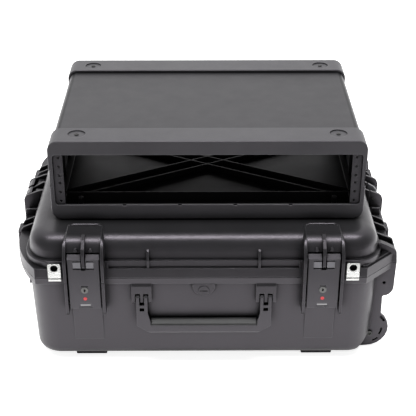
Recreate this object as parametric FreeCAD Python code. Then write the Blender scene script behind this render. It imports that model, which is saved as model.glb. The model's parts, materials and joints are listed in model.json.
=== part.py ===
import FreeCAD, Part
import math
import os

# Wheeled transit case with a two-unit, 19-inch equipment rack shell standing on its lid.
# Millimetres, +Z up, floor at Z = 0, origin under the middle of the whole object.
# The wide front with the two locking latches faces -Y, and the wheeled end faces +X.

V = FreeCAD.Vector
X_AXIS = V(1, 0, 0)
Y_AXIS = V(0, 1, 0)
Z_AXIS = V(0, 0, 1)

# ---- case shell ----
BASE_BOTTOM_Z = 6.5
BASE_FLANGE_Z = 154.0
PARTING_Z = 166.0
PARTING_GAP = 0.8
LID_STEP_Z = 182.5
LID_LEDGE_Z = 195.0
LID_TOP_Z = 232.0
WALL = 4.0
BASE_TOP_HALF = (281.0, 225.0)
BASE_FOOT_HALF = (276.5, 217.5)
BASE_CORNER_R = 44.0
BASE_EDGE_R = 16.0
BEVEL_LOW = (248.0, 6.5)
BEVEL_HIGH = (277.6, 42.0)
LID_FOOT_HALF = (279.0, 223.0)
LID_TOP_HALF = (276.0, 220.0)
LID_CORNER_R = 44.0
LID_EDGE_R = 25.0
FLANGE_Y = 231.0
FLANGE_X = 304.0
RECESS_X = 286.0
RECESS_Y = 84.0
SHOULDER_X = 309.0
WING_X = 311.5
WING_Y = 187.0
WING_CORNER = (303.0, 187.0)
FLANGE_LEAN = 1.2
WING_INNER_Y = 141.0
PLATE_T = 4.5
SKID_X = 187.0
SKID_HALF = 25.5
SKID_Y = 207.0

# ---- latches, measured from a mounting face at local Y = 0 with -Y pointing outwards ----
LATCH_X = 187.0
SIDE_LATCH_FACE_X = 294.5
LATCH_HALF = 25.0
LATCH_BOTTOM_Z = 117.5
LATCH_TOP_Z = 213.0
SIDE_LATCH_TOP_Z = 209.0
LATCH_OUT = 13.0
LATCH_T = 4.5
LATCH_PIN = (-6.5, 125.0)
LATCH_PIN_R = 2.2
GUARD_IN = 27.0
GUARD_OUT = 31.5
GUARD_FACE = 15.0
GUARD_BOTTOM_Z = 105.0
STRIKE = (1.0, 199.5)
STRIKE_R = 2.0
TRIGGER_PIN = (-6.0, 183.0)
TRIGGER_PIN_R = 1.3
LOCK_Z = 151.5
LOCK_R = 5.8
DOT_Z = 135.7
DOT_R = 2.9
RUNNING = 0.05
HASP_X = 234.5
HASP_EYE_Z = 184.2
HASP_EYE_R = 6.0
HASP_HALF = 10.0

# ---- carrying handles ----
ARM_X = 99.0
ARM_HALF = 8.9
FORK_HALF = 4.1
FORK_BOTTOM_Z = 115.0
HANDLE_PIN = (2.4, 128.6)
HANDLE_PIN_R = 1.8
HANDLE_KNOB_R = 4.4
HANDLE_BOTTOM_Z = 63.0
ARM_FACE = 2.0
BAR_FACE = 5.2
BAR_BACK = 1.5
BAR_HEIGHT = 15.0
BRACKET_FACE = 0.6
TONGUE_BOTTOM_Z = 120.0
BRACKET_HALF = 16.0
GRIP_HALF = 85.0
SIDE_HANDLE_FACE_X = 294.0

# ---- wheels ----
WHEEL_X = 277.0
WHEEL_Z = 28.0
WHEEL_R = 27.5
WHEEL_HUB_R = 20.5
WHEEL_Y = 164.0
WHEEL_HALF = 15.0
AXLE_R = 3.0
BEARING_R = 9.5
WELL_R = 31.0
WELL_TOP_Z = 62.0
CHEEK_X = 271.5
CHEEK_Z = 38.0
CHEEK_R = 36.0

# ---- telescopic pull handle on the wheeled end ----
TUBE_X = 297.0
TUBE_Y = 70.0
TUBE_RADII = (9.5, 8.2, 6.9, 5.6)
TUBE_BOTTOMS = (16.0, 19.0, 22.0, 25.0)
TUBE_TOPS = (157.0, 160.5, 164.0, 169.0)
TUBE_WALL = 1.0
PULL_GRIP_Z = 169.0
PULL_FACE_X = 287.5

# ---- rear hinge ----
HINGE_Y = 240.5
HINGE_Z = 166.0
HINGE_R = 6.0
HINGE_PIN_R = 2.5
HINGE_X = 170.0

# ---- rack shell (EIA 19-inch, two units) ----
RACK_X = 6.5
RACK_FRONT_Y = -163.0
RACK_REAR_Y = 185.0
RACK_BOTTOM_Z = 233.5
RACK_TOP_Z = 371.0
RACK_HALF = 248.5
RACK_CORNER_R = 17.0
BAND_DEPTH = 51.0
BAND_PROUD = 5.5
BAND_SIDE_PROUD = 3.5
BAY_Z = 304.0
BAY_HALF_Z = 44.0
BAY_HALF_X = 241.5
LIP_DEPTH = 45.0
HOLE_X = 232.55
HOLE_ROWS = (6.35, 22.225, 38.1)
HOLE_R = 2.4
FOOT_X = 204.5
FOOT_INSET = 28.5
FOOT_R = 13.5


def box(x0, x1, y0, y1, z0, z1):
    return Part.makeBox(x1 - x0, y1 - y0, z1 - z0, V(x0, y0, z0))


def rod(start, end, radius):
    direction = end - start
    return Part.makeCylinder(radius, direction.Length, start, direction)


def tube(start, end, outer, inner):
    return rod(start, end, outer).cut(rod(start, end, inner))


def polygon_prism(points, direction):
    wire = Part.makePolygon(list(points) + [points[0]])
    return Part.Face(wire).extrude(direction)


def profile_x(points, x0, x1):
    """Prism along X from (y, z) points."""
    return polygon_prism([V(x0, y, z) for y, z in points], V(x1 - x0, 0, 0))


def profile_y(points, y0, y1):
    """Prism along Y from (x, z) points."""
    return polygon_prism([V(x, y0, z) for x, z in points], V(0, y1 - y0, 0))


def outline_z(points, z0, z1):
    """Prism along Z from (x, y) points."""
    return polygon_prism([V(x, y, z0) for x, y in points], V(0, 0, z1 - z0))


def rounded_wire(half_x, half_y, radius, z, centre_x=0.0, centre_y=0.0):
    """Closed rounded rectangle in a level plane."""
    c = math.cos(math.pi / 4)
    edges = []
    corners = [(1, -1, -90), (1, 1, 0), (-1, 1, 90), (-1, -1, 180)]
    arcs = []
    for sx, sy, start in corners:
        mid_x = centre_x + sx * (half_x - radius)
        mid_y = centre_y + sy * (half_y - radius)
        a0 = math.radians(start)
        a1 = math.radians(start + 90)
        p0 = V(mid_x + radius * math.cos(a0), mid_y + radius * math.sin(a0), z)
        pm = V(mid_x + sx * radius * c, mid_y + sy * radius * c, z)
        p1 = V(mid_x + radius * math.cos(a1), mid_y + radius * math.sin(a1), z)
        arcs.append((p0, pm, p1))
    for i, (p0, pm, p1) in enumerate(arcs):
        edges.append(Part.Arc(p0, pm, p1).toShape())
        edges.append(Part.makeLine(p1, arcs[(i + 1) % 4][0]))
    return Part.Wire(edges)


def rounded_slab(half_x, half_y, radius, z0, z1):
    face = Part.Face(rounded_wire(half_x, half_y, radius, z0))
    return face.extrude(V(0, 0, z1 - z0))


def tapered_tub(foot, top, foot_r, top_r, z0, z1):
    wires = [rounded_wire(*foot, foot_r, z0), rounded_wire(*top, top_r, z1)]
    return Part.makeLoft(wires, True, True)


def edges_at_z(shape, z):
    found = []
    for edge in shape.Edges:
        b = edge.BoundBox
        if abs(b.ZMin - z) < 1e-4 and abs(b.ZMax - z) < 1e-4:
            found.append(edge)
    return found


def edges_along(shape, axis, picks):
    """Straight edges parallel to an axis whose middle satisfies picks(point)."""
    found = []
    for edge in shape.Edges:
        if len(edge.Vertexes) != 2 or edge.Curve.TypeId != "Part::GeomLine":
            continue
        run = edge.Vertexes[1].Point - edge.Vertexes[0].Point
        if run.Length > 1e-6 and run.cross(axis).Length < 1e-6 * run.Length:
            middle = (edge.Vertexes[0].Point + edge.Vertexes[1].Point) * 0.5
            if picks(middle):
                found.append(edge)
    return found


def ease(shape, axis, radius, picks=lambda p: True):
    return shape.makeFillet(radius, edges_along(shape, axis, picks))


def fuse(shapes):
    shapes = list(shapes)
    return shapes[0].multiFuse(shapes[1:]).removeSplitter()


def cut(shape, tools):
    tools = list(tools)
    return shape.cut(Part.makeCompound(tools)) if tools else shape


def mirrored_x(shape):
    return shape.mirror(V(0, 0, 0), X_AXIS)


def mirrored_y(shape):
    return shape.mirror(V(0, 0, 0), Y_AXIS)


def to_front(shape, x):
    """From latch or handle coordinates to the front face."""
    placed = shape.copy()
    placed.translate(V(x, -FLANGE_Y, 0))
    return placed


def to_left(shape, face_x):
    """From latch or handle coordinates to the left end, outwards along -X."""
    placed = shape.copy()
    placed.rotate(V(0, 0, 0), Z_AXIS, -90)
    placed.translate(V(-face_x, 0, 0))
    return placed


# ------------------------------------------------------------------ case shell

def flange_wire(z, inset):
    """Flange outline: curved corners on the left, diagonal corners up to the wheel wings on the right."""
    rear = FLANGE_Y - inset
    x = FLANGE_X - inset
    wing = WING_X - inset
    corner = WING_CORNER[0]
    wing_y = WING_CORNER[1] - inset
    inner_y = WING_INNER_Y + inset
    start = V(-266, -rear, z)
    points = [
        V(-266, rear, z), V(257, rear, z), V(corner, wing_y, z), V(wing, wing_y, z),
        V(wing, inner_y, z), V(x, inner_y, z), V(x, RECESS_Y, z), V(RECESS_X, RECESS_Y, z),
        V(RECESS_X, -RECESS_Y, z), V(x, -RECESS_Y, z), V(x, -inner_y, z), V(wing, -inner_y, z),
        V(wing, -wing_y, z), V(corner, -wing_y, z), V(257, -rear, z), start,
    ]
    edges = [
        Part.Arc(start, V(inset - 285, -202, z), V(-x, -142, z)).toShape(),
        Part.makeLine(V(-x, -142, z), V(-x, 142, z)),
        Part.Arc(V(-x, 142, z), V(inset - 285, 202, z), points[0]).toShape(),
    ]
    edges += [Part.makeLine(a, b) for a, b in zip(points, points[1:])]
    return Part.Wire(edges)


def flange(z0, z1, inset0, inset1):
    """Flange band whose faces lean between two insets, with a seat for the left latch and swellings."""
    slab = Part.makeLoft([flange_wire(z0, inset0), flange_wire(z1, inset1)], True, True)
    swellings = []
    for x0, x1 in ((-SHOULDER_X, -FLANGE_X + 6), (FLANGE_X - 6, SHOULDER_X)):
        for y in (-ARM_X, ARM_X):
            block = box(x0, x1, y - 14.5, y + 14.5, z0, z1)
            swellings.append(ease(block, Z_AXIS, 3, lambda p: abs(p.x) > FLANGE_X))
    notch = box(-FLANGE_X - 1, -SIDE_LATCH_FACE_X, -34, 34, z0 - 1, z1 + 1)
    return fuse([slab] + swellings).cut(notch)


def both_y(shape):
    return [shape, mirrored_y(shape)]


def on_cheek(radius, degrees):
    """Point (x, z) at a radius and an angle about the middle of the round wheel cheek."""
    a = math.radians(degrees)
    return (CHEEK_X + radius * math.cos(a), CHEEK_Z + radius * math.sin(a))


def wing_plate_outline():
    """Side view of a wheel cheek: straight down from the parting, a bite, then round the wheel."""
    points = [(262, PARTING_Z - PARTING_GAP / 2), (311.2, PARTING_Z - PARTING_GAP / 2), (310.2, 119)]
    for step in range(1, 6):
        a = math.radians(90 * step / 5)
        points.append((295 + 15.2 * math.cos(a), 119 - 17 * math.sin(a)))
    points.append((293.2, 100))
    points += [on_cheek(CHEEK_R, 52 - 142 * step / 9) for step in range(10)]
    points += [(262, 1.2), (240, 1.2), (240, 60)]
    return points


def arc_slot(radii, degrees, y0, y1):
    """Curved slot about the middle of a wheel cheek, cut along Y."""
    steps = [degrees[0] + (degrees[1] - degrees[0]) * i / 6 for i in range(7)]
    outline = [on_cheek(radii[0], a) for a in steps] + [on_cheek(radii[1], a) for a in reversed(steps)]
    return profile_y(outline, y0, y1)


def wheel_cheeks():
    """Outer cheek with curved slots and a dimple, smaller inner cheek, roof and tie wall between them."""
    outer_y = -WING_Y
    inner_y = -WING_INNER_Y
    outer = profile_y(wing_plate_outline(), outer_y, outer_y + PLATE_T)
    top = PARTING_Z - PARTING_GAP / 2
    lug = [
        (262, top), (311.2, top), (310.2, 119), (300, 104), (284, 98),
        (284, 44), (289, 36), (289, 22), (283, 16), (262, 16),
    ]
    inner = profile_y(lug, inner_y - PLATE_T, inner_y)
    slots = []
    for radii, degrees in (((23.6, 27), (-31, 0)), ((27.2, 30), (-66, -45))):
        slots.append(arc_slot(radii, degrees, outer_y - 1, outer_y + PLATE_T + 1))
    blind_y = outer_y + PLATE_T - 1
    slots.append(arc_slot((29.5, 33.6), (24, 47), outer_y - 1, blind_y))
    dimple = rod(V(294, outer_y - 1, 127.5), V(294, blind_y, 127.5), 2.8)
    outer = cut(outer, slots + [dimple])
    roof = box(262, 291, outer_y, inner_y, WELL_TOP_Z, WELL_TOP_Z + 4)
    tie = box(266, 282, outer_y, inner_y, WELL_TOP_Z, 150)
    axle_hole = rod(V(WHEEL_X, outer_y - 2, WHEEL_Z), V(WHEEL_X, inner_y + 2, WHEEL_Z), AXLE_R + 0.02)
    return fuse([outer, inner, roof, tie]).cut(axle_hole)


def wheel_well(radius, margin):
    """Cylinder that clears, or encloses, the front wheel inside the base."""
    y0 = -WING_Y + PLATE_T - margin
    y1 = -WING_INNER_Y - PLATE_T + margin
    return rod(V(WHEEL_X, y0, WHEEL_Z), V(WHEEL_X, y1, WHEEL_Z), radius)


def end_bevel(inset):
    """Wedge below the sloping lower edge of the wheeled end; inset moves its face into the base."""
    run = BEVEL_HIGH[0] - BEVEL_LOW[0]
    rise = BEVEL_HIGH[1] - BEVEL_LOW[1]
    length = math.hypot(run, rise)
    dx = -inset * rise / length
    dz = inset * run / length
    low = (BEVEL_LOW[0] - run + dx, BEVEL_LOW[1] - rise + dz)
    high = (BEVEL_HIGH[0] + run + dx, BEVEL_HIGH[1] + rise + dz)
    return profile_y([low, high, (high[0] + 60, high[1]), (high[0] + 60, low[1])], -260, 260)


def base_cavity():
    foot = (BASE_FOOT_HALF[0] - WALL, BASE_FOOT_HALF[1] - WALL)
    top = (BASE_TOP_HALF[0] - WALL, BASE_TOP_HALF[1] - WALL)
    z0 = BASE_BOTTOM_Z + WALL
    cavity = tapered_tub(foot, top, BASE_CORNER_R - 8, BASE_CORNER_R - WALL, z0, PARTING_Z + 2)
    cavity = cavity.makeFillet(BASE_EDGE_R - WALL, edges_at_z(cavity, z0))
    return cut(cavity, both_y(wheel_well(WELL_R + 3, 3)) + [end_bevel(WALL)])


def base_tub():
    foot_r = BASE_CORNER_R - 4
    top_z = BASE_FLANGE_Z + 4
    tub = tapered_tub(BASE_FOOT_HALF, BASE_TOP_HALF, foot_r, BASE_CORNER_R, BASE_BOTTOM_Z, top_z)
    return tub.makeFillet(BASE_EDGE_R, edges_at_z(tub, BASE_BOTTOM_Z)).cut(end_bevel(0))


def skids():
    """Two runners under the base, each carried up the front and rear walls as a raised strip."""
    runners = []
    for x in (-SKID_X, SKID_X):
        runner = box(x - SKID_HALF, x + SKID_HALF, -SKID_Y, SKID_Y, 0, 22)
        runner = ease(runner, X_AXIS, 3, lambda p: p.z < 1)
        runners.append(ease(runner, Y_AXIS, 2, lambda p: p.z < 1))
        top_z = GUARD_BOTTOM_Z + 4
        strip = [(-200, 22), (-214.5, 30), (-219.8, 42), (-225, top_z), (-200, top_z)]
        for side in (1, -1):
            points = [(side * y, z) for y, z in strip]
            runners.append(profile_x(points, x - SKID_HALF + 2, x + SKID_HALF - 2))
    return runners


def base_guards(root, nose):
    """Pair of ribs either side of a latch on the base, each ending in a small nose, in latch coordinates."""
    top = PARTING_Z - PARTING_GAP / 2
    outline = [
        (-GUARD_FACE, top), (-GUARD_FACE, GUARD_BOTTOM_Z + 4), (-GUARD_FACE - nose, GUARD_BOTTOM_Z + 2),
        (-GUARD_FACE + 2, GUARD_BOTTOM_Z), (root, GUARD_BOTTOM_Z), (root, top),
    ]
    ribs = []
    for side in (-1, 1):
        x0, x1 = sorted((side * GUARD_IN, side * GUARD_OUT))
        ribs.append(profile_x(outline, x0, x1))
    pin_hole = rod(V(-40, *LATCH_PIN), V(40, *LATCH_PIN), LATCH_PIN_R + RUNNING)
    return [rib.cut(pin_hole) for rib in ribs]


def handle_bracket(root):
    """Block under the flange with two prongs and a tongue for one handle arm, in handle coordinates."""
    top = BASE_FLANGE_Z + 1
    face = -BRACKET_FACE
    prong = [(FLANGE_LEAN, top), (face, 150), (face, 120.5), (face + 2, 118.5), (root, 118.5), (root, top)]
    block = [(FLANGE_LEAN, top), (face, 150), (face, 136.2), (root, 136.2), (root, top)]
    tongue = [(face, 137), (face, TONGUE_BOTTOM_Z), (root, TONGUE_BOTTOM_Z), (root, 137)]
    parts = [
        profile_x(prong, -BRACKET_HALF, -10.8),
        profile_x(prong, 10.8, BRACKET_HALF),
        profile_x(tongue, -2.4, 2.4),
        profile_x(block, -BRACKET_HALF, BRACKET_HALF),
    ]
    pin_hole = rod(V(-20, *HANDLE_PIN), V(20, *HANDLE_PIN), HANDLE_PIN_R + RUNNING)
    return [p.cut(pin_hole) for p in parts]


def pull_tube_brackets():
    """Clamps on the wheeled end that hold the fixed tubes of the pull handle."""
    blocks = []
    for y in (-TUBE_Y, TUBE_Y):
        for x0, z0, z1 in ((250, 16, 36), (262, 136, BASE_FLANGE_Z + 2)):
            block = box(x0, TUBE_X + 10.5, y - 13, y + 13, z0, z1)
            blocks.append(ease(block, Z_AXIS, 8, lambda p: p.x > TUBE_X))
        blocks.append(box(262, TUBE_X - 4, y - 3, y + 3, 30, 140))
    return blocks


def base_hinge_knuckles():
    web_top = PARTING_Z - PARTING_GAP / 2
    parts = []
    for x in (-HINGE_X, HINGE_X):
        for x0, x1 in ((x - 45, x - 20.5), (x + 20.5, x + 45)):
            parts.append(rod(V(x0, HINGE_Y, HINGE_Z), V(x1, HINGE_Y, HINGE_Z), HINGE_R))
            parts.append(box(x0, x1, FLANGE_Y - 4, HINGE_Y, HINGE_Z - 12, web_top))
    return parts


def hinge_bore():
    return rod(V(-260, HINGE_Y, HINGE_Z), V(260, HINGE_Y, HINGE_Z), HINGE_PIN_R + RUNNING)


def make_base_shell():
    solids = [base_tub(), flange(BASE_FLANGE_Z, PARTING_Z - PARTING_GAP / 2, FLANGE_LEAN, 0)]
    solids += skids()
    for x in (-LATCH_X, LATCH_X):
        solids += [to_front(rib, x) for rib in base_guards(14, 0.5)]
    solids += [to_left(rib, SIDE_LATCH_FACE_X) for rib in base_guards(34, 2.0)]
    for x in (-ARM_X, ARM_X):
        for piece in handle_bracket(12):
            solids.append(to_front(piece, x))
        for piece in handle_bracket(20):
            moved = piece.copy()
            moved.translate(V(x, 0, 0))
            solids.append(to_left(moved, SIDE_HANDLE_FACE_X))
    solids += both_y(wheel_cheeks())
    solids += pull_tube_brackets()
    solids += base_hinge_knuckles()
    shell = fuse(solids)
    tools = [base_cavity(), hinge_bore()]
    tools += both_y(wheel_well(WELL_R, 0))
    tools += both_y(box(WHEEL_X, 330, -WING_Y + PLATE_T, -WING_INNER_Y - PLATE_T, -1, WELL_TOP_Z))
    for y in (-TUBE_Y, TUBE_Y):
        tools.append(rod(V(TUBE_X, y, 15), V(TUBE_X, y, 170), TUBE_RADII[0] + 0.05))
    tools.append(rod(V(0, -FLANGE_Y - 1, 141), V(0, -200, 141), 7.05))
    for side in (-1, 1):
        tools.append(hasp_slot(side * HASP_X))
    return cut(shell, tools)


def hasp_slot(x):
    """Shallow seat in both flanges for a padlock hasp."""
    return box(x - HASP_HALF - 0.2, x + HASP_HALF + 0.2, -FLANGE_Y - 1, -FLANGE_Y + 1.2, 161, 192.5)


def lid_body():
    top_r = LID_CORNER_R - 2
    body = tapered_tub(LID_FOOT_HALF, LID_TOP_HALF, LID_CORNER_R, top_r, LID_LEDGE_Z - 6, LID_TOP_Z)
    return body.makeFillet(LID_EDGE_R, edges_at_z(body, LID_TOP_Z))


def lid_cavity():
    foot = (LID_FOOT_HALF[0] - WALL - 1, LID_FOOT_HALF[1] - WALL - 1)
    top = (LID_TOP_HALF[0] - WALL, LID_TOP_HALF[1] - WALL)
    z1 = LID_TOP_Z - WALL
    cavity = tapered_tub(foot, top, LID_CORNER_R - 5, LID_CORNER_R - 6, PARTING_Z - 2, z1)
    return cavity.makeFillet(LID_EDGE_R - WALL, edges_at_z(cavity, z1))


def front_guard_face():
    """Side view of a front guard: up the latch, over the lid edge and down behind the rim."""
    z0 = PARTING_Z + PARTING_GAP / 2
    a = V(0, -GUARD_FACE, z0)
    b = V(0, -GUARD_FACE, 200)
    c = V(0, 5, 231)
    d = V(0, 34, 237.5)
    e = V(0, 47, 237.5)
    f = V(0, 53, 231)
    g = V(0, 14, 222)
    h = V(0, 14, z0)
    edges = [
        Part.makeLine(a, b),
        Part.Arc(b, V(0, -9.5, 218), c).toShape(),
        Part.Arc(c, V(0, 18.5, 235.8), d).toShape(),
        Part.makeLine(d, e),
        Part.makeLine(e, f),
        Part.makeLine(f, g),
        Part.makeLine(g, h),
        Part.makeLine(h, a),
    ]
    return Part.Face(Part.Wire(edges))


def end_guard_face(root):
    """Side view of an end guard: up past the latch, then sloping back to the lid shoulder."""
    z0 = PARTING_Z + PARTING_GAP / 2
    a = V(0, -GUARD_FACE, z0)
    b = V(0, -GUARD_FACE, 197)
    c = V(0, -8.5, 207.3)
    d = V(0, 14.5, 216.3)
    e = V(0, 26, 217)
    f = V(0, root, 214)
    g = V(0, root, z0)
    edges = [Part.makeLine(a, b), Part.Arc(b, V(0, -13, 203.5), c).toShape()]
    edges += [Part.makeLine(p, q) for p, q in ((c, d), (d, e), (e, f), (f, g), (g, a))]
    return Part.Face(Part.Wire(edges))


def guard_pair(face):
    ribs = []
    for side in (-1, 1):
        x0, x1 = sorted((side * GUARD_IN, side * GUARD_OUT))
        rib = face.copy()
        rib.translate(V(x0, 0, 0))
        ribs.append(rib.extrude(V(x1 - x0, 0, 0)))
    return ribs


def front_guards():
    """Guard pair of a front latch with an arched rim across the top, shoulders eased in front view."""
    rim = [(45.5, 228), (46.2, 236.6), (47.5, 237.5), (49, 237.5), (53.5, 231), (53.5, 228)]
    pieces = guard_pair(front_guard_face()) + [profile_x(rim, -GUARD_IN - 1, GUARD_IN + 1)]
    half = GUARD_OUT + 1
    z0 = PARTING_Z - 1
    arch = [(-half, z0), (-half, 226), (-30, 231), (-25.5, 235.2), (-19, 237.6)]
    arch += [(-x, z) for x, z in reversed(arch)]
    envelope = profile_y(arch, -30, 70)
    return [piece.common(envelope) for piece in pieces]


def lid_dome():
    """Raised panel between the front guards, its two bosses and the middle fin, in latch coordinates."""
    a = V(0, -3.5, 215)
    b = V(0, 26, 234.3)
    outline = [b, V(0, 46, 234.9), V(0, 52, 231), V(0, 14, 222), V(0, 14, 215), a]
    edges = [Part.Arc(a, V(0, 4, 228.5), b).toShape()]
    edges += [Part.makeLine(p, q) for p, q in zip(outline, outline[1:])]
    face = Part.Face(Part.Wire(edges))
    face.translate(V(-GUARD_IN - 0.5, 0, 0))
    dome = face.extrude(V(2 * GUARD_IN + 1, 0, 0))
    fin_outline = [
        (-11, 190), (-13.5, 194), (-13.5, 214), (-9.5, 224), (2, 233.5),
        (14, 237), (22, 234), (14, 226), (14, 190),
    ]
    fin = ease(profile_x(fin_outline, -2.5, 2.5), Z_AXIS, 1.0, lambda p: p.y < -13.4)
    bosses = [rod(V(x, 4, 219), V(x, -5.5, 219), 2.6) for x in (-11.5, 11.5)]
    return [dome, fin] + bosses


def end_fin(root):
    """Middle fin of an end latch, lower than its guards."""
    outline = [
        (-11, 190), (-11.5, 196), (-9.5, 200.5), (-5, 205), (2, 209),
        (14.5, 216.5), (root, 216.5), (root, 190),
    ]
    return profile_x(outline, -2.5, 2.5)


def lid_strike_rail(root):
    """Shelf behind the strike pin that joins the two guards."""
    return [box(-GUARD_IN - 0.5, -9, 4, root, 186, 208), box(9, GUARD_IN + 0.5, 4, root, 186, 208)]


def lid_wings():
    """Housing top over the front wheel: a far plate, a sloping near block and a pocket between them."""
    z0 = PARTING_Z + PARTING_GAP / 2
    plate = [
        (270, z0), (WING_X - 0.5, z0), (WING_X - 1, 179), (310, 184),
        (306, 187), (298, 190), (284, 196), (270, 196),
    ]
    near = [
        (270, z0), (WING_X - 0.5, z0), (WING_X - 1, 178), (310, 185), (306, 190.5), (294, 197), (284, 201.5),
        (270, 201.5),
    ]
    corner = [(250, 4 - FLANGE_Y), (256, 4 - FLANGE_Y), (299, 2 - WING_Y), (299, 8 - WING_Y), (262, -200)]
    return [
        profile_y(plate, -WING_INNER_Y - PLATE_T, -WING_INNER_Y),
        profile_y(near, -WING_Y + 1, -WING_Y + 12),
        outline_z(corner, z0, LID_STEP_Z + 3.5),
    ]


def wing_pocket():
    """Open pocket behind the near block of a wing."""
    return box(286, WING_X - 3, -WING_Y + 12, -WING_INNER_Y - PLATE_T, LID_STEP_Z - 10, 200)


def end_ribs(sides):
    """Thin ribs on both ends of the lid: one beyond each guard and a pair over each handle arm."""
    z0 = PARTING_Z + PARTING_GAP / 2
    ribs = []
    arm_rib = [
        (268, z0), (SHOULDER_X, z0), (SHOULDER_X - 1, 170), (303.5, 185),
        (300, 190), (284, 197), (268, 197),
    ]
    for side in sides:
        points = [(side * x, z) for x, z in arm_rib]
        for y in (-ARM_X, ARM_X):
            for offset in (-11.3, 11.3):
                ribs.append(profile_y(points, y + offset - 1.7, y + offset + 1.7))
    low_rib = [(-268, z0), (-303, z0), (-303, 192), (-300.5, 195.5), (-268, 195.5)]
    for y in (-58, 58):
        ribs.append(profile_y(low_rib, y - 1.5, y + 1.5))
    return ribs


def pull_guard_stubs():
    """Short ribs on the wheeled end of the lid, in line with the cheeks and button of the pull handle."""
    top = [(262, 200), (285, 184), (285.9, 184), (285.9, 213.4), (280, 216), (270, 217), (262, 217)]
    stubs = []
    for y0, y1 in ((-GUARD_OUT, -GUARD_IN), (-2.5, 2.5), (GUARD_IN, GUARD_OUT)):
        stubs.append(profile_y(top, y0, y1))
    return stubs


def lid_hinge_knuckles():
    z0 = PARTING_Z + PARTING_GAP / 2
    parts = []
    for x in (-HINGE_X, HINGE_X):
        parts.append(rod(V(x - 20, HINGE_Y, HINGE_Z), V(x + 20, HINGE_Y, HINGE_Z), HINGE_R))
        parts.append(box(x - 20, x + 20, FLANGE_Y - 4, HINGE_Y, z0, HINGE_Z + 12))
    return parts


def gasket_ring(z0, z1, half_width):
    outer = rounded_slab(279.2 + half_width, 225.2 + half_width, 43 + half_width, z0, z1)
    inner = rounded_slab(279.2 - half_width, 225.2 - half_width, 43 - half_width, z0 - 1, z1 + 1)
    return outer.cut(inner)


def make_lid_shell():
    z0 = PARTING_Z + PARTING_GAP / 2
    tier = rounded_slab(LID_FOOT_HALF[0] + 5, LID_FOOT_HALF[1] + 5.5, LID_CORNER_R + 5, z0, LID_LEDGE_Z)
    tier = tier.makeFillet(1.5, edges_at_z(tier, LID_LEDGE_Z))
    recess = box(-150, 150, -FLANGE_Y - 5, -FLANGE_Y + 4.5, LID_STEP_Z, LID_LEDGE_Z + 1)
    solids = [lid_body(), tier.cut(recess), flange(z0, LID_STEP_Z, 0, FLANGE_LEAN)]
    skirt_top = LID_LEDGE_Z - 1.5
    skirt_back = -FLANGE_Y + 8
    lean = [(-FLANGE_Y + 0.5, z0), (-FLANGE_Y + 2, skirt_top), (skirt_back, skirt_top), (skirt_back, z0)]
    skirt_half = HASP_X + HASP_HALF + 1
    skirt = profile_x(lean, -skirt_half, skirt_half).cut(recess)
    solids.append(skirt)
    for x in (-LATCH_X, LATCH_X):
        for piece in front_guards() + lid_dome() + lid_strike_rail(12):
            solids.append(to_front(piece, x))
    for piece in guard_pair(end_guard_face(34)) + [end_fin(30)] + lid_strike_rail(30):
        solids.append(to_left(piece, SIDE_LATCH_FACE_X))
    for x in (-87.5, 87.5):
        rib = [(-FLANGE_Y + 12, 214), (-FLANGE_Y + 6.5, 210), (-FLANGE_Y + 1.5, 196), (-FLANGE_Y + 1.5, 178)]
        solids.append(profile_x(rib + [(-FLANGE_Y + 12, 178)], x - 1.7, x + 1.7))
    for piece in lid_wings():
        solids += both_y(piece)
    solids += end_ribs((-1, 1)) + pull_guard_stubs()
    solids += lid_hinge_knuckles()
    shell = fuse(solids)
    tools = [lid_cavity(), hinge_bore(), gasket_ring(z0 - 1, z0 + 3.5, 2.1)] + both_y(wing_pocket())
    for x in (-LATCH_X, LATCH_X):
        tools.append(to_front(strike_pin(STRIKE_R + 0.02), x))
    tools.append(to_left(strike_pin(STRIKE_R + 0.02), SIDE_LATCH_FACE_X))
    for side in (-1, 1):
        tools.append(hasp_slot(side * HASP_X))
        tools.append(hasp_eye(side * HASP_X))
    return cut(shell, tools)


def make_lid_gasket():
    return gasket_ring(PARTING_Z - PARTING_GAP / 2 + 0.05, PARTING_Z + PARTING_GAP / 2 + 3.4, 2.0)


def base_foam():
    """Foam lining of the base with a level seat for the rack shell above the wheel wells."""
    foot = (BASE_FOOT_HALF[0] - WALL - 1, BASE_FOOT_HALF[1] - WALL - 1)
    top = (BASE_TOP_HALF[0] - WALL - 1, BASE_TOP_HALF[1] - WALL - 1)
    z0 = BASE_BOTTOM_Z + WALL + 0.5
    foam = tapered_tub(foot, top, BASE_CORNER_R - 9, BASE_CORNER_R - 5, z0, 158)
    foam = foam.makeFillet(BASE_EDGE_R - WALL, edges_at_z(foam, z0))
    tools = both_y(wheel_well(WELL_R + 4, 4))
    tools.append(box(-251, 251, -178, 178, 84, 200))
    tools.append(rod(V(0, -230, 141), V(0, -200, 141), 10))
    tools.append(end_bevel(WALL + 0.7))
    return cut(foam, tools)


def lid_foam():
    """Foam lining of the lid, hollowed for the top of the stored rack shell."""
    foot = (LID_FOOT_HALF[0] - WALL - 2, LID_FOOT_HALF[1] - WALL - 2)
    top = (LID_TOP_HALF[0] - WALL - 1, LID_TOP_HALF[1] - WALL - 1)
    z1 = LID_TOP_Z - WALL - 0.3
    foam = tapered_tub(foot, top, LID_CORNER_R - 6, LID_CORNER_R - 7, PARTING_Z + 6, z1)
    foam = foam.makeFillet(LID_EDGE_R - WALL, edges_at_z(foam, z1))
    return foam.cut(box(-251, 251, -178, 178, 100, 223.4))


def make_hinge_pins():
    pins = []
    for x in (-HINGE_X, HINGE_X):
        pins.append(rod(V(x - 45, HINGE_Y, HINGE_Z), V(x + 45, HINGE_Y, HINGE_Z), HINGE_PIN_R))
    return Part.makeCompound(pins)


# ------------------------------------------------------------------ latches

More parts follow.
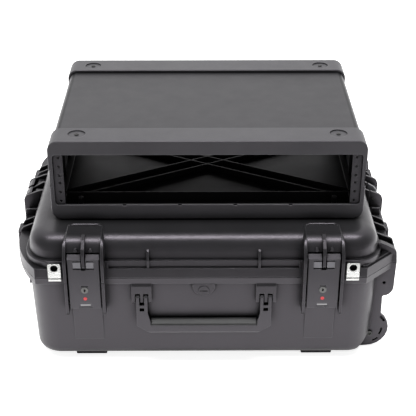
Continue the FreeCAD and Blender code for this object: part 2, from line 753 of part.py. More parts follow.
def latch_plate(with_lock, top_z):
    """Over-centre latch plate with its slot, trigger window, pivot barrel and side walls."""
    out = -LATCH_OUT
    inner = out + LATCH_T
    profile = [
        (out, LATCH_BOTTOM_Z), (out, top_z - 6), (out + 7, top_z), (out + 10.5, top_z),
        (inner, top_z - 7), (inner, LATCH_BOTTOM_Z),
    ]
    plate = profile_x(profile, -LATCH_HALF, LATCH_HALF)
    plate = ease(plate, Z_AXIS, 1.5, lambda p: p.y < out + 0.1)
    walls = [
        box(-24.5, -21.5, inner - 1, -3.5, 119, 189),
        box(21.5, 24.5, inner - 1, -3.5, 119, 189),
        rod(V(-24.5, *LATCH_PIN), V(24.5, *LATCH_PIN), 5.2),
    ]
    body = fuse([plate] + walls)
    tools = [
        box(-3.9, 3.9, -20, 0, 188, 220),
        box(-16.6, 16.6, -20, 0, 189.8, 205.2 - (LATCH_TOP_Z - top_z)),
        rod(V(-30, *LATCH_PIN), V(30, *LATCH_PIN), LATCH_PIN_R + RUNNING),
        rod(V(-30, *TRIGGER_PIN), V(30, *TRIGGER_PIN), TRIGGER_PIN_R + RUNNING),
        box(-21.3, 21.3, inner - 1.2, 0, 179, 190.7),
    ]
    if with_lock:
        tools.append(rod(V(0, -20, LOCK_Z), V(0, 0, LOCK_Z), LOCK_R + RUNNING))
        tools.append(rod(V(0, -20, DOT_Z), V(0, out + 1.2, DOT_Z), DOT_R))
        tools.append(box(-5.5, 5.5, out - 1, out + 1.5, LOCK_Z + 6.4, LOCK_Z + 7.8))
        tools.append(box(-9, 9, out - 1, out + 0.4, 121.5, 127.5))
        tools.append(box(-12, 12, out - 1, out + 0.6, 118.4, 119.2))
    return cut(body, tools)


def trigger(top_z):
    """Two thin finger pads either side of the fin, with catch hooks, on a bar round the trigger pin."""
    y, z = TRIGGER_PIN
    drop = LATCH_TOP_Z - top_z
    bar = rod(V(-21, y, z), V(21, y, z), 2.7)
    pieces = [bar]
    pad_top = 202.8 - drop
    for side in (-1, 1):
        x0, x1 = sorted((side * 4.3, side * 16.2))
        pad = [
            (-11.8, 191.3), (-12.6, 192.1), (-12.6, pad_top), (-11.2, pad_top), (-10.6, 193.6), (-4.5, 192.6),
            (-4.5, 191.3),
        ]
        pieces.append(profile_x(pad, x0, x1))
        leg = [(-8.0, z), (-8.0, 191.5), (-4.5, 191.5), (-4.0, z)]
        pieces.append(profile_x(leg, x0, x1))
        x0, x1 = sorted((side * 13.4, side * 16.2))
        hook = [
            (-11.5, 192), (-10.8, pad_top - 1), (-5.2, pad_top - 0.6), (-2.4, pad_top - 1.2),
            (-5.6, pad_top - 3.8), (-5.6, 192),
        ]
        pieces.append(profile_x(hook, x0, x1))
    pin_hole = rod(V(-30, y, z), V(30, y, z), TRIGGER_PIN_R + RUNNING)
    return fuse(pieces).cut(pin_hole)


def strike_pin(radius):
    return rod(V(-GUARD_OUT + 1, *STRIKE), V(GUARD_OUT - 1, *STRIKE), radius)


def latch_pin():
    return rod(V(-GUARD_OUT - 0.6, *LATCH_PIN), V(GUARD_OUT + 0.6, *LATCH_PIN), LATCH_PIN_R)


def trigger_pin():
    return rod(V(-24.4, *TRIGGER_PIN), V(24.4, *TRIGGER_PIN), TRIGGER_PIN_R)


def trigger_spring():
    """Leaf spring between the latch side walls, behind the trigger bar."""
    y, z = TRIGGER_PIN
    return box(-21.4, 21.4, y + 2.9, y + 3.4, z - 5, z + 4)


def lock_cylinder():
    """Key barrel with its keyway and the cam on its inner end."""
    barrel = rod(V(0, -LATCH_OUT - 0.6, LOCK_Z), V(0, -4, LOCK_Z), LOCK_R)
    keyway = box(-0.8, 0.8, -LATCH_OUT - 2, -LATCH_OUT + 5, LOCK_Z - 3, LOCK_Z + 3)
    pin_mouth = rod(V(0, -LATCH_OUT - 2, LOCK_Z), V(0, -LATCH_OUT + 3, LOCK_Z), 1.7)
    cam = box(-4, 4, -4.2, -2.4, LOCK_Z - 13, LOCK_Z + 4)
    return fuse([barrel, cam]).cut(keyway).cut(pin_mouth)


def lock_dot():
    return rod(V(0, -LATCH_OUT - 0.3, DOT_Z), V(0, -LATCH_OUT + 1.2, DOT_Z), DOT_R)


def both_hasps(hasp):
    return Part.makeCompound([hasp(-HASP_X), hasp(HASP_X)])


def hasp_lid(x):
    """Upper half of a stainless padlock hasp."""
    z0 = PARTING_Z + PARTING_GAP / 2 + 0.3
    front = -FLANGE_Y
    plate = box(x - HASP_HALF, x + HASP_HALF, front - 0.9, front + 1.2, z0, 192.3)
    plate = ease(plate, Y_AXIS, 1.5, lambda p: p.z > 190)
    swell = box(x - HASP_HALF, x + HASP_HALF, front - 1.9, front - 0.4, z0, 176.5)
    swell = ease(swell, X_AXIS, 0.7, lambda p: p.y < front - 1.5)
    hole = rod(V(x, front - 4, HASP_EYE_Z), V(x, front + 3, HASP_EYE_Z), HASP_EYE_R)
    return fuse([plate, swell]).cut(hole)


def hasp_base(x):
    """Lower half of the hasp, folded under the base flange edge."""
    z1 = PARTING_Z - PARTING_GAP / 2 - 0.1
    front = -FLANGE_Y
    plate = box(x - HASP_HALF, x + HASP_HALF, front - 1.9, front + 1.2, 161.2, z1)
    return ease(plate, X_AXIS, 0.7, lambda p: p.y < front - 1.5)


def hasp_eye(x):
    """Clearance behind the hasp hole so a padlock shackle can pass through both flanges."""
    return rod(V(x, -FLANGE_Y - 2, HASP_EYE_Z), V(x, -FLANGE_Y + 6, HASP_EYE_Z), HASP_EYE_R)


# ------------------------------------------------------------------ carrying handles

def handle_frame():
    """Drop handle: two forked arms that lean outwards, and a flat bar with sloped lower corners."""
    outer = ARM_X + ARM_HALF
    inner = ARM_X - ARM_HALF
    b = HANDLE_BOTTOM_Z
    bar_end = GRIP_HALF + 1
    pin_z = HANDLE_PIN[1]
    side_view = [
        (-ARM_FACE, pin_z), (-BAR_FACE, b + 3), (-BAR_FACE + 2.1, b), (0.5, b), (0.5, 98),
        (5.5, 114), (5.5, pin_z),
    ]
    outline = [
        (-outer, pin_z), (-outer, b + 14.5), (-bar_end, b), (bar_end, b), (outer, b + 14.5), (outer, pin_z),
        (inner, pin_z), (inner, b + 37), (bar_end, b + 22), (bar_end, b + BAR_HEIGHT),
        (-bar_end, b + BAR_HEIGHT), (-bar_end, b + 22), (-inner, b + 37), (-inner, pin_z),
    ]
    frame = profile_y(outline, -20, 20).common(profile_x(side_view, -120, 120))
    tools = [box(-GRIP_HALF - 0.5, GRIP_HALF + 0.5, -BAR_BACK, 20, b - 1, b + 40)]
    for x in (-ARM_X, ARM_X):
        tools.append(box(x - FORK_HALF, x + FORK_HALF, -20, 20, FORK_BOTTOM_Z, 150))
        tools.append(box(x - 3.9, x + 3.9, -20, 20, 104.6, 110.6))
    frame = cut(frame, tools)
    knobs = []
    for x in (-ARM_X, ARM_X):
        for x0, x1 in ((x - ARM_HALF, x - FORK_HALF), (x + FORK_HALF, x + ARM_HALF)):
            knobs.append(rod(V(x0, *HANDLE_PIN), V(x1, *HANDLE_PIN), HANDLE_KNOB_R))
    lugs = [box(x - 3, x + 3, -2, 2, b + 6, b + 18) for x in (-GRIP_HALF - 3.5, GRIP_HALF + 3.5)]
    spine = box(-GRIP_HALF - 4, GRIP_HALF + 4, -2.5, 3.0, b + 9, b + 13)
    pin_hole = rod(V(-150, *HANDLE_PIN), V(150, *HANDLE_PIN), HANDLE_PIN_R + RUNNING)
    return fuse([frame, spine] + knobs + lugs).cut(pin_hole)


def handle_grip():
    """Soft ribbed sleeve behind and above the flat bar, moulded round its spine."""
    b = HANDLE_BOTTOM_Z
    z0 = b + 3.5
    z1 = b + 23.0
    front = -BAR_BACK + 0.1
    over_bar = b + BAR_HEIGHT + 0.1
    section = [
        (front, z0), (front, over_bar), (-5.2, over_bar), (-5.8, over_bar + 1.2), (-5.2, over_bar + 2.8),
        (-3.4, over_bar + 4), (2.5, z1 - 0.8), (5.5, z1), (7.4, z1 - 0.9), (8, z1 - 3), (8, z0 + 5),
        (6, z0 + 1.4), (3, z0),
    ]
    sleeve = profile_x(section, -GRIP_HALF, GRIP_HALF)
    core = box(-GRIP_HALF - 1, GRIP_HALF + 1, -2.5, 3.0, b + 9, b + 13)
    grooves = []
    for i in range(-8, 9):
        x = i * 10
        grooves.append(box(x - 0.6, x + 0.6, 5, 10, z1 - 0.8, z1 + 1))
        grooves.append(box(x - 0.6, x + 0.6, 7.2, 10, z0, z1))
    return cut(sleeve.cut(core), grooves)


def handle_pins():
    pins = []
    for x in (-ARM_X, ARM_X):
        reach = BRACKET_HALF - 0.2
        pins.append(rod(V(x - reach, *HANDLE_PIN), V(x + reach, *HANDLE_PIN), HANDLE_PIN_R))
    return Part.makeCompound(pins)


# ------------------------------------------------------------------ pressure valve

def valve_body():
    """Half-round boss under the flange with a stem through the base wall."""
    y0 = -FLANGE_Y + 1.0
    disc = rod(V(0, y0 + 1.6, 149), V(0, -223.2, 149), 19)
    disc = disc.fuse(Part.makeCone(17.6, 19, 1.6, V(0, y0, 149), Y_AXIS))
    disc = disc.cut(box(-30, 30, -260, -200, BASE_FLANGE_Z - 0.2, 200))
    disc = disc.cut(base_tub())
    stem = rod(V(0, -226, 141), V(0, -214, 141), 7)
    window = rod(V(0, y0 - 1, 141), V(0, y0 + 3, 141), 9)
    bore = rod(V(0, y0, 141), V(0, -213, 141), 4.5)
    return fuse([disc, stem]).cut(window).cut(bore)


def valve_cap():
    y0 = -FLANGE_Y + 0.4
    cap = rod(V(0, y0, 141), V(0, y0 + 3.6, 141), 8.9)
    slot = box(-6, 6, y0 - 1, y0 + 1, 140.2, 141.8)
    return cap.cut(slot)


# ------------------------------------------------------------------ wheels

def wheel_hub(y_mid):
    """Spoked hub with recessed seats for two bearings."""
    y0 = y_mid - WHEEL_HALF + 1
    y1 = y_mid + WHEEL_HALF - 1
    centre0 = V(WHEEL_X, y0, WHEEL_Z)
    centre1 = V(WHEEL_X, y1, WHEEL_Z)
    hub = rod(centre0, centre1, WHEEL_HUB_R)
    groove = WHEEL_HUB_R - 3.5
    tools = [
        tube(centre0 - Y_AXIS, centre0 + Y_AXIS * 8, groove, BEARING_R + 2.5),
        tube(centre1 + Y_AXIS, centre1 - Y_AXIS * 8, groove, BEARING_R + 2.5),
        rod(centre0 - Y_AXIS, centre0 + Y_AXIS * 7, BEARING_R + 0.02),
        rod(centre1 + Y_AXIS, centre1 - Y_AXIS * 7, BEARING_R + 0.02),
        rod(centre0 - Y_AXIS, centre1 + Y_AXIS, AXLE_R + 1.5),
    ]
    hub = cut(hub, tools)
    spokes = []
    for i in range(6):
        bar = box(BEARING_R + 1.5, groove + 2, y0 + 1, y1 - 1, -2, 2)
        bar.rotate(V(0, 0, 0), Y_AXIS, 60 * i + 15)
        bar.translate(V(WHEEL_X, 0, WHEEL_Z))
        spokes.append(bar)
    return fuse([hub] + spokes)


def wheel_tyre(y_mid):
    y0 = V(WHEEL_X, y_mid - WHEEL_HALF, WHEEL_Z)
    y1 = V(WHEEL_X, y_mid + WHEEL_HALF, WHEEL_Z)
    tyre = rod(y0, y1, WHEEL_R)
    rims = [e for e in tyre.Edges if e.Curve.TypeId == "Part::GeomCircle"]
    tyre = tyre.makeFillet(4, rims)
    return tyre.cut(rod(y0 - Y_AXIS, y1 + Y_AXIS, WHEEL_HUB_R + 0.02))


def wheel_bearings(y_mid):
    rings = []
    for side in (-1, 1):
        outer = y_mid + side * (WHEEL_HALF - 1)
        inner = y_mid + side * (WHEEL_HALF - 7.9)
        start = V(WHEEL_X, min(outer, inner), WHEEL_Z)
        end = V(WHEEL_X, max(outer, inner), WHEEL_Z)
        rings.append(tube(start, end, BEARING_R, AXLE_R + RUNNING))
    return Part.makeCompound(rings)


def wheel_axle(side):
    """Axle bolt with a socket head outside, its end held in the inner cheek."""
    shank = rod(V(WHEEL_X, -WING_Y - 1, WHEEL_Z), V(WHEEL_X, -WING_INNER_Y - 0.5, WHEEL_Z), AXLE_R)
    head = rod(V(WHEEL_X, -WING_Y - 2.8, WHEEL_Z), V(WHEEL_X, -WING_Y, WHEEL_Z), 4.6)
    socket = rod(V(WHEEL_X, -WING_Y - 4, WHEEL_Z), V(WHEEL_X, -WING_Y - 1.4, WHEEL_Z), 2.6)
    axle = fuse([shank, head]).cut(socket)
    return axle if side < 0 else mirrored_y(axle)


# ------------------------------------------------------------------ pull handle

def pull_tubes(stage):
    tubes = []
    for y in (-TUBE_Y, TUBE_Y):
        start = V(TUBE_X, y, TUBE_BOTTOMS[stage])
        end = V(TUBE_X, y, TUBE_TOPS[stage])
        tubes.append(tube(start, end, TUBE_RADII[stage], TUBE_RADII[stage] - TUBE_WALL))
    return Part.makeCompound(tubes)


def pull_tube_collars():
    """Plastic guide bushes in the mouths of the fixed tubes."""
    rings = []
    for y in (-TUBE_Y, TUBE_Y):
        foot = V(TUBE_X, y, TUBE_TOPS[0] + 0.1)
        rings.append(tube(foot, foot + V(0, 0, 2.9), 10.2, TUBE_RADII[1] + 0.1))
    return Part.makeCompound(rings)


def pull_grip():
    """Low cross bar between the inner tubes, with a raised hub between two sloping cheeks."""
    z0 = PULL_GRIP_Z
    end = TUBE_Y + 11
    bar = box(PULL_FACE_X, 306.5, -end, end, z0, z0 + 13)
    bar = ease(bar, Y_AXIS, 4, lambda p: p.x > 306 and p.z > z0 + 10)
    bar = ease(bar, Y_AXIS, 3, lambda p: p.z < z0 + 1)
    pieces = [bar]
    cheek = [
        (PULL_FACE_X, z0 + 1), (309.5, z0 + 1), (309.5, 197), (307.5, 203.3),
        (303, 207.2), (PULL_FACE_X, 213.2),
    ]
    for side in (-1, 1):
        y0, y1 = sorted((side * GUARD_IN, side * GUARD_OUT))
        pieces.append(profile_y(cheek, y0, y1))
        y0, y1 = sorted((side * 56.5, side * 59.5))
        pieces.append(box(PULL_FACE_X, 301, y0, y1, z0 + 10, 195.5))
    hub = box(PULL_FACE_X + 1, 306, -GUARD_IN - 0.5, GUARD_IN + 0.5, z0 + 1, 196)
    pieces.append(ease(hub, Y_AXIS, 6, lambda p: p.x > 305 and p.z > 190))
    pocket = box(292.0, 303.0, -16.2, 16.2, 188.5, 200)
    return fuse(pieces).cut(pocket)


def pull_button():
    """Push button with a middle thumb rib that reaches back towards the lid."""
    button = box(292.2, 302.8, -16, 16, 191.5, 198.5)
    rib = [
        (292.2, 198), (292.2, 199.6), (288, 199.6), (288, 212.3), (297.5, 206.3), (301.5, 201), (302.2, 198),
    ]
    return fuse([button, profile_y(rib, -2.5, 2.5)])


def pull_button_spring():
    rings = []
    for y in (-8, 8):
        rings.append(tube(V(297.5, y, 188.6), V(297.5, y, 189.3), 3.6, 2.2))
    return Part.makeCompound(rings)


def pull_pins():
    """Round pin heads on the outer faces of the two cheeks."""
    pins = []
    for side in (-1, 1):
        y0, y1 = sorted((side * GUARD_OUT, side * (GUARD_OUT + 1.2)))
        pins.append(rod(V(292.6, y0, 199), V(292.6, y1, 199), 2.6))
    return Part.makeCompound(pins)


# ------------------------------------------------------------------ rack shell

def rack_ring(half_x, z0, z1, radius, y0, y1):
    """Rounded-rectangle prism along Y, centred on the rack."""
    half_z = (z1 - z0) / 2
    face = Part.Face(rounded_wire(half_x, half_z, radius, 0))
    prism = face.extrude(V(0, 0, y1 - y0))
    prism.rotate(V(0, 0, 0), X_AXIS, 90)
    prism.translate(V(RACK_X, y1, (z0 + z1) / 2))
    return prism


def rack_panel_box():
    return RACK_HALF - BAND_SIDE_PROUD, RACK_BOTTOM_Z + BAND_PROUD, RACK_TOP_Z - BAND_PROUD


def brace_ribs(z0, z1):
    """Pairs of thin ribs from corner to corner of the shell, crossing in the middle."""
    ribs = []
    reach_x = 232.0
    reach_y = 122.0
    middle_y = (RACK_FRONT_Y + RACK_REAR_Y) / 2
    length = 2 * math.hypot(reach_x, reach_y)
    tilt = math.degrees(math.atan2(reach_y, reach_x))
    for sign in (-1, 1):
        for offset in (-13, 13):
            rib = box(-length / 2, length / 2, offset - 1.2, offset + 1.2, z0, z1)
            rib.rotate(V(0, 0, 0), Z_AXIS, sign * tilt)
            rib.translate(V(RACK_X, middle_y, 0))
            ribs.append(rib)
    return ribs


def rack_shell():
    """Sleeve between the end frames, with crossed stiffening ribs on the floor and ceiling."""
    half_x, z0, z1 = rack_panel_box()
    y0 = RACK_FRONT_Y + LIP_DEPTH
    y1 = RACK_REAR_Y - LIP_DEPTH
    outer = rack_ring(half_x, z0, z1, 13, y0, y1)
    inside = rack_ring(half_x - 4.5, z0 + 4.5, z1 - 4.5, 9, y0 - 1, y1 + 1)
    ribs = brace_ribs(z0 + 2, z0 + 14) + brace_ribs(z1 - 12, z1 - 2)
    for side in (-1, 1):
        for y in (-60, 10, 80):
            x0, x1 = sorted((RACK_X + side * (half_x - 2), RACK_X + side * (half_x - 9)))
            ribs.append(box(x0, x1, y - 1.3, y + 1.3, z0 + 8, z1 - 8))
        x0, x1 = sorted((RACK_X + side * (half_x - 2), RACK_X + side * (half_x - 16)))
        for z in (z0 + 20, z1 - 22):
            ribs.append(box(x0, x1, y0, y1, z, z + 2.2))
    trimmed = Part.makeCompound(ribs).common(rack_ring(half_x - 1, z0 + 1, z1 - 1, 12, y0 + 1, y1 - 1))
    return fuse([outer.cut(inside)] + trimmed.Solids)


def rack_frame(front):
    """End frame: proud band with the bay opening, hollow bars, foot seats and screw bosses."""
    y0 = RACK_FRONT_Y
    y1 = RACK_FRONT_Y + BAND_DEPTH
    half_x, panel_z0, panel_z1 = rack_panel_box()
    band = rack_ring(RACK_HALF, RACK_BOTTOM_Z, RACK_TOP_Z, RACK_CORNER_R, y0, y1)
    rim = []
    for edge in band.Edges:
        b = edge.BoundBox
        if abs(b.YMin - y0) < 1e-4 and abs(b.YMax - y0) < 1e-4:
            rim.append(edge)
        if abs(b.YMin - y1) < 1e-4 and abs(b.YMax - y1) < 1e-4:
            rim.append(edge)
    band = band.makeFillet(2.0, rim)
    bay = rack_ring(BAY_HALF_X, BAY_Z - BAY_HALF_Z, BAY_Z + BAY_HALF_Z, 5, y0 - 1, y1 + 1)
    seat = rack_ring(half_x + 0.02, panel_z0 - 0.02, panel_z1 + 0.02, 13, y0 + LIP_DEPTH - 0.02, y1 + 1)
    tools = [bay, seat]
    back = y0 + LIP_DEPTH - 2.5
    for z0, z1 in ((RACK_BOTTOM_Z + 5.5, BAY_Z - BAY_HALF_Z + 1), (BAY_Z + BAY_HALF_Z - 1, RACK_TOP_Z - 5.5)):
        tools.append(box(RACK_X - 228, RACK_X + 228, y0 + 4, back, z0, z1))
    for side in (-1, 1):
        x0, x1 = sorted((RACK_X + side * (RACK_HALF - 3.2), RACK_X + side * (RACK_HALF + 1)))
        tools.append(box(x0, x1, y0 - 1, y0 + 11, 292, 321))
    for x in (-132, -44, 44, 132):
        tools.append(box(RACK_X + x - 3, RACK_X + x + 3, y0 - 1, y0 + 3, BAY_Z - BAY_HALF_Z - 2, BAY_Z))
    band = cut(band, tools)
    bosses = []
    seats = []
    foot_y = foot_rows()[0]
    for x in (RACK_X - FOOT_X, RACK_X + FOOT_X):
        bosses.append(rod(V(x, foot_y, RACK_BOTTOM_Z + 3), V(x, foot_y, BAY_Z - BAY_HALF_Z - 1), 4.5))
        bosses.append(rod(V(x, foot_y, BAY_Z + BAY_HALF_Z + 1), V(x, foot_y, RACK_TOP_Z - 3), 4.5))
        seats.append(rod(V(x, foot_y, RACK_TOP_Z - 1.6), V(x, foot_y, RACK_TOP_Z + 1), FOOT_R + 0.5))
        seats.append(rod(V(x, foot_y, RACK_BOTTOM_Z - 1), V(x, foot_y, RACK_BOTTOM_Z + 1.6), FOOT_R + 0.5))
        seats.append(rod(V(x, foot_y, RACK_BOTTOM_Z), V(x, foot_y, RACK_BOTTOM_Z + 12), 1.75))
        seats.append(rod(V(x, foot_y, RACK_TOP_Z - 12), V(x, foot_y, RACK_TOP_Z), 1.75))
    for x, y, z in front_rail_screws():
        seats.append(rod(V(x, y, z), V(RACK_X + (RACK_HALF + 2) * (1 if x > RACK_X else -1), y, z), 1.75))
    band = cut(fuse([band] + bosses), seats)
    return band if front else to_rear(band)


def to_rear(shape):
    """Mirror a front-frame piece to the back of the rack."""
    middle = (RACK_FRONT_Y + RACK_REAR_Y) / 2
    return shape.mirror(V(0, middle, 0), Y_AXIS)


def foot_rows():
    return RACK_FRONT_Y + FOOT_INSET, RACK_REAR_Y - FOOT_INSET


def front_rail_screws():
    """Inner ends of the screws that hold the front rails: x, y, z of the side wall face."""
    points = []
    for side in (-1, 1):
        for z in (BAY_Z - 30, BAY_Z + 30):
            points.append((RACK_X + side * (BAY_HALF_X - 0.7), RACK_FRONT_Y + 24, z))
    return points


def rack_rail(side):
    """Steel L rail with the six mounting holes of a two-unit bay, front right before mirroring."""
    outer = BAY_HALF_X - 0.7
    y0 = RACK_FRONT_Y + 3.0
    z0 = BAY_Z - BAY_HALF_Z + 0.5
    z1 = BAY_Z + BAY_HALF_Z - 0.5
    flange_plate = box(outer - 15, outer, y0, y0 + 2, z0, z1)
    flange_plate = ease(flange_plate, Y_AXIS, 4, lambda p: p.x > outer - 1)
    leg = box(outer - 2, outer, y0, y0 + 34, z0 + 5, z1 - 5)
    rail = fuse([flange_plate, leg])
    tools = []
    for row in HOLE_ROWS:
        for sign in (-1, 1):
            z = BAY_Z + sign * row
            tools.append(rod(V(HOLE_X, y0 - 1, z), V(HOLE_X, y0 + 3, z), HOLE_R))
    for z in (BAY_Z - 30, BAY_Z + 30):
        tools.append(rod(V(outer - 3, RACK_FRONT_Y + 24, z), V(outer + 1, RACK_FRONT_Y + 24, z), 1.75))
    rail = cut(rail, tools)
    if side < 0:
        rail = mirrored_x(rail)
    rail.translate(V(RACK_X, 0, 0))
    return rail


def rail_screws():
    """Pan-head screws through the rail legs into the end frames."""
    front = []
    for x, y, z in front_rail_screws():
        way = 1 if x > RACK_X else -1
        face = x - way * 2
        head = rod(V(face - way * 1.8, y, z), V(face, y, z), 3.4)
        shank = rod(V(face, y, z), V(face + way * 6, y, z), 1.7)
        front.append(fuse([head, shank]))
    return Part.makeCompound(front + [to_rear(s) for s in front])


def rack_feet():
    feet = []
    for y in foot_rows():
        for x in (RACK_X - FOOT_X, RACK_X + FOOT_X):
            foot = rod(V(x, y, LID_TOP_Z), V(x, y, RACK_BOTTOM_Z + 1.6), FOOT_R)
            foot = foot.cut(rod(V(x, y, LID_TOP_Z - 1), V(x, y, LID_TOP_Z + 1.4), 5))
            feet.append(foot.cut(rod(V(x, y, LID_TOP_Z - 1), V(x, y, LID_TOP_Z + 9), 1.75)))
    return Part.makeCompound(feet)


def foot_screws():
    """Screws in the four foot seats underneath and the four matching seats on top."""
    screws = []
    for y in foot_rows():
        for x in (RACK_X - FOOT_X, RACK_X + FOOT_X):
            low = fuse([
                rod(V(x, y, LID_TOP_Z + 0.5), V(x, y, LID_TOP_Z + 1.4), 3.2),
                rod(V(x, y, LID_TOP_Z + 1.4), V(x, y, LID_TOP_Z + 11), 1.7),
            ])
            seat = RACK_TOP_Z - 1.6
            high = fuse([
                rod(V(x, y, seat), V(x, y, seat + 1.2), 3.2),
                rod(V(x, y, seat - 8), V(x, y, seat), 1.7),
            ])
            cross = box(x - 2, x + 2, y - 0.5, y + 0.5, seat + 0.6, seat + 2)
            screws += [low, high.cut(cross)]
    return Part.makeCompound(screws)


# ------------------------------------------------------------------ assembly

def case_parts():
    return {
        "base_shell": make_base_shell(),
        "lid_shell": make_lid_shell(),
        "lid_gasket": make_lid_gasket(),
        "base_foam": base_foam(),
        "lid_foam": lid_foam(),
        "hinge_pins": make_hinge_pins(),
        "hasps_lid": both_hasps(hasp_lid),
        "hasps_base": both_hasps(hasp_base),
        "valve_body": valve_body(),
        "valve_cap": valve_cap(),
    }


def latch_parts():
    parts = {}
    places = {
        "left": lambda s: to_front(s, -LATCH_X),
        "right": lambda s: to_front(s, LATCH_X),
        "side": lambda s: to_left(s, SIDE_LATCH_FACE_X),
    }
    for name, place in places.items():
        locked = name != "side"
        top_z = LATCH_TOP_Z if locked else SIDE_LATCH_TOP_Z
        parts["latch_" + name] = place(latch_plate(locked, top_z))
        parts["trigger_" + name] = place(trigger(top_z))
        parts["trigger_pin_" + name] = place(trigger_pin())
        parts["trigger_spring_" + name] = place(trigger_spring())
        if locked:
            parts["lock_cylinder_" + name] = place(lock_cylinder())
            parts["lock_dot_" + name] = place(lock_dot())
    parts["latch_pivot_pins"] = Part.makeCompound([place(latch_pin()) for place in places.values()])
    parts["strike_pins"] = Part.makeCompound([place(strike_pin(STRIKE_R)) for place in places.values()])
    return parts


def handle_parts():
    return {
        "front_handle": to_front(handle_frame(), 0),
        "front_handle_grip": to_front(handle_grip(), 0),
        "front_handle_pins": to_front(handle_pins(), 0),
        "side_handle": to_left(handle_frame(), SIDE_HANDLE_FACE_X),
        "side_handle_grip": to_left(handle_grip(), SIDE_HANDLE_FACE_X),
        "side_handle_pins": to_left(handle_pins(), SIDE_HANDLE_FACE_X),
    }


def wheel_parts():
    parts = {}
    for side, name in ((-1, "front"), (1, "rear")):
        y = side * WHEEL_Y
        parts["wheel_hub_" + name] = wheel_hub(y)
        parts["wheel_tyre_" + name] = wheel_tyre(y)
        parts["wheel_bearings_" + name] = wheel_bearings(y)
    parts["wheel_axles"] = Part.makeCompound([wheel_axle(-1), wheel_axle(1)])
    return parts


def pull_handle_parts():
    return {
        "pull_tubes_fixed": pull_tubes(0),
        "pull_tube_collars": pull_tube_collars(),
        "pull_tubes_outer": pull_tubes(1),
        "pull_tubes_middle": pull_tubes(2),
        "pull_tubes_inner": pull_tubes(3),
        "pull_grip": pull_grip(),
        "pull_button": pull_button(),
        "pull_button_springs": pull_button_spring(),
        "pull_grip_pins": pull_pins(),
    }


def rack_parts():
    front_left = rack_rail(-1)
    front_right = rack_rail(1)
    return {
        "rack_shell": rack_shell(),
        "rack_front_frame": rack_frame(True),
        "rack_rear_frame": rack_frame(False),
        "rack_rail_front_left": front_left,
        "rack_rail_front_right": front_right,
        "rack_rail_rear_left": to_rear(front_left),
        "rack_rail_rear_right": to_rear(front_right),
        "rail_screws": rail_screws(),
        "rack_feet": rack_feet(),
        "foot_screws": foot_screws(),
    }


def main():
    os.makedirs("parts", exist_ok=True)
    parts = {}
    parts.update(case_parts())
    parts.update(latch_parts())
    parts.update(handle_parts())
    parts.update(wheel_parts())
    parts.update(pull_handle_parts())
    parts.update(rack_parts())
    for name, shape in parts.items():
        shape.exportStep(os.path.join("parts", name + ".step"))


main()
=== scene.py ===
import json
import math
import bpy
import bmesh
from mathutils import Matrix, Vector, noise


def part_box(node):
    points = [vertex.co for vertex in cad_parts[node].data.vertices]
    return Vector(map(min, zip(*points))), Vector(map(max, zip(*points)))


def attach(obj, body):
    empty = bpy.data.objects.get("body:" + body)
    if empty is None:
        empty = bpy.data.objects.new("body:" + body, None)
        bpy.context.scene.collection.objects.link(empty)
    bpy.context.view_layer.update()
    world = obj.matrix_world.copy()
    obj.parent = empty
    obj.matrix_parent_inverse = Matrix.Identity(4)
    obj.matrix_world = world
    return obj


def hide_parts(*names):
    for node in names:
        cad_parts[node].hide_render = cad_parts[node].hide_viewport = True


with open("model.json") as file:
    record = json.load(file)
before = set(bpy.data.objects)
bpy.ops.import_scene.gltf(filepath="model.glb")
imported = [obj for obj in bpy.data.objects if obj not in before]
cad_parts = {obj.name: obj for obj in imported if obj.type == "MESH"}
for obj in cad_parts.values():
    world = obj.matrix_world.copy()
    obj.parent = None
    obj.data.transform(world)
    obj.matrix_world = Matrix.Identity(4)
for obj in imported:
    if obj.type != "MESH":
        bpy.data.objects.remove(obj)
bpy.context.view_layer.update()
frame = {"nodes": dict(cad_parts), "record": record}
scene = bpy.context.scene
nodes = frame["nodes"]
slot_of = {row["node"]: row["material_slot"] for row in frame["record"]["subparts"]}


# ---------------------------------------------------------------- materials

PLASTIC_TINT = 0.06
SHEEN_TINT = (0.97, 0.89, 1.0, 1.0)
METAL_TINT = -0.02
RUBBER_TINT = 0.03
# edge lightening of the plastics: partly wear, partly painted highlight
EDGE_WEAR_AND_HIGHLIGHT = 2.4
EDGE_HIGHLIGHT_LIFT = 0.07
EDGE_SHARE = 0.7
# painted shade: reach and depth of the darkening in crevices
CREVICE_SHADE_REACH = 0.022
CREVICE_SHADE_TONE = 0.12
FLOW_SCALE = 9.0
SCUFF_SCALE = 35.0
BRUSH_SCALE = 900.0
BLOTCH_SCALE = 45.0
BLOOM_SCALE = 25.0
CELL_SCALE = 420.0
CLOUD_SCALE = 14.0
PAINT_SCALE = 700.0
FINE_EDGE = 0.0004
SOFT_EDGE = 0.0008


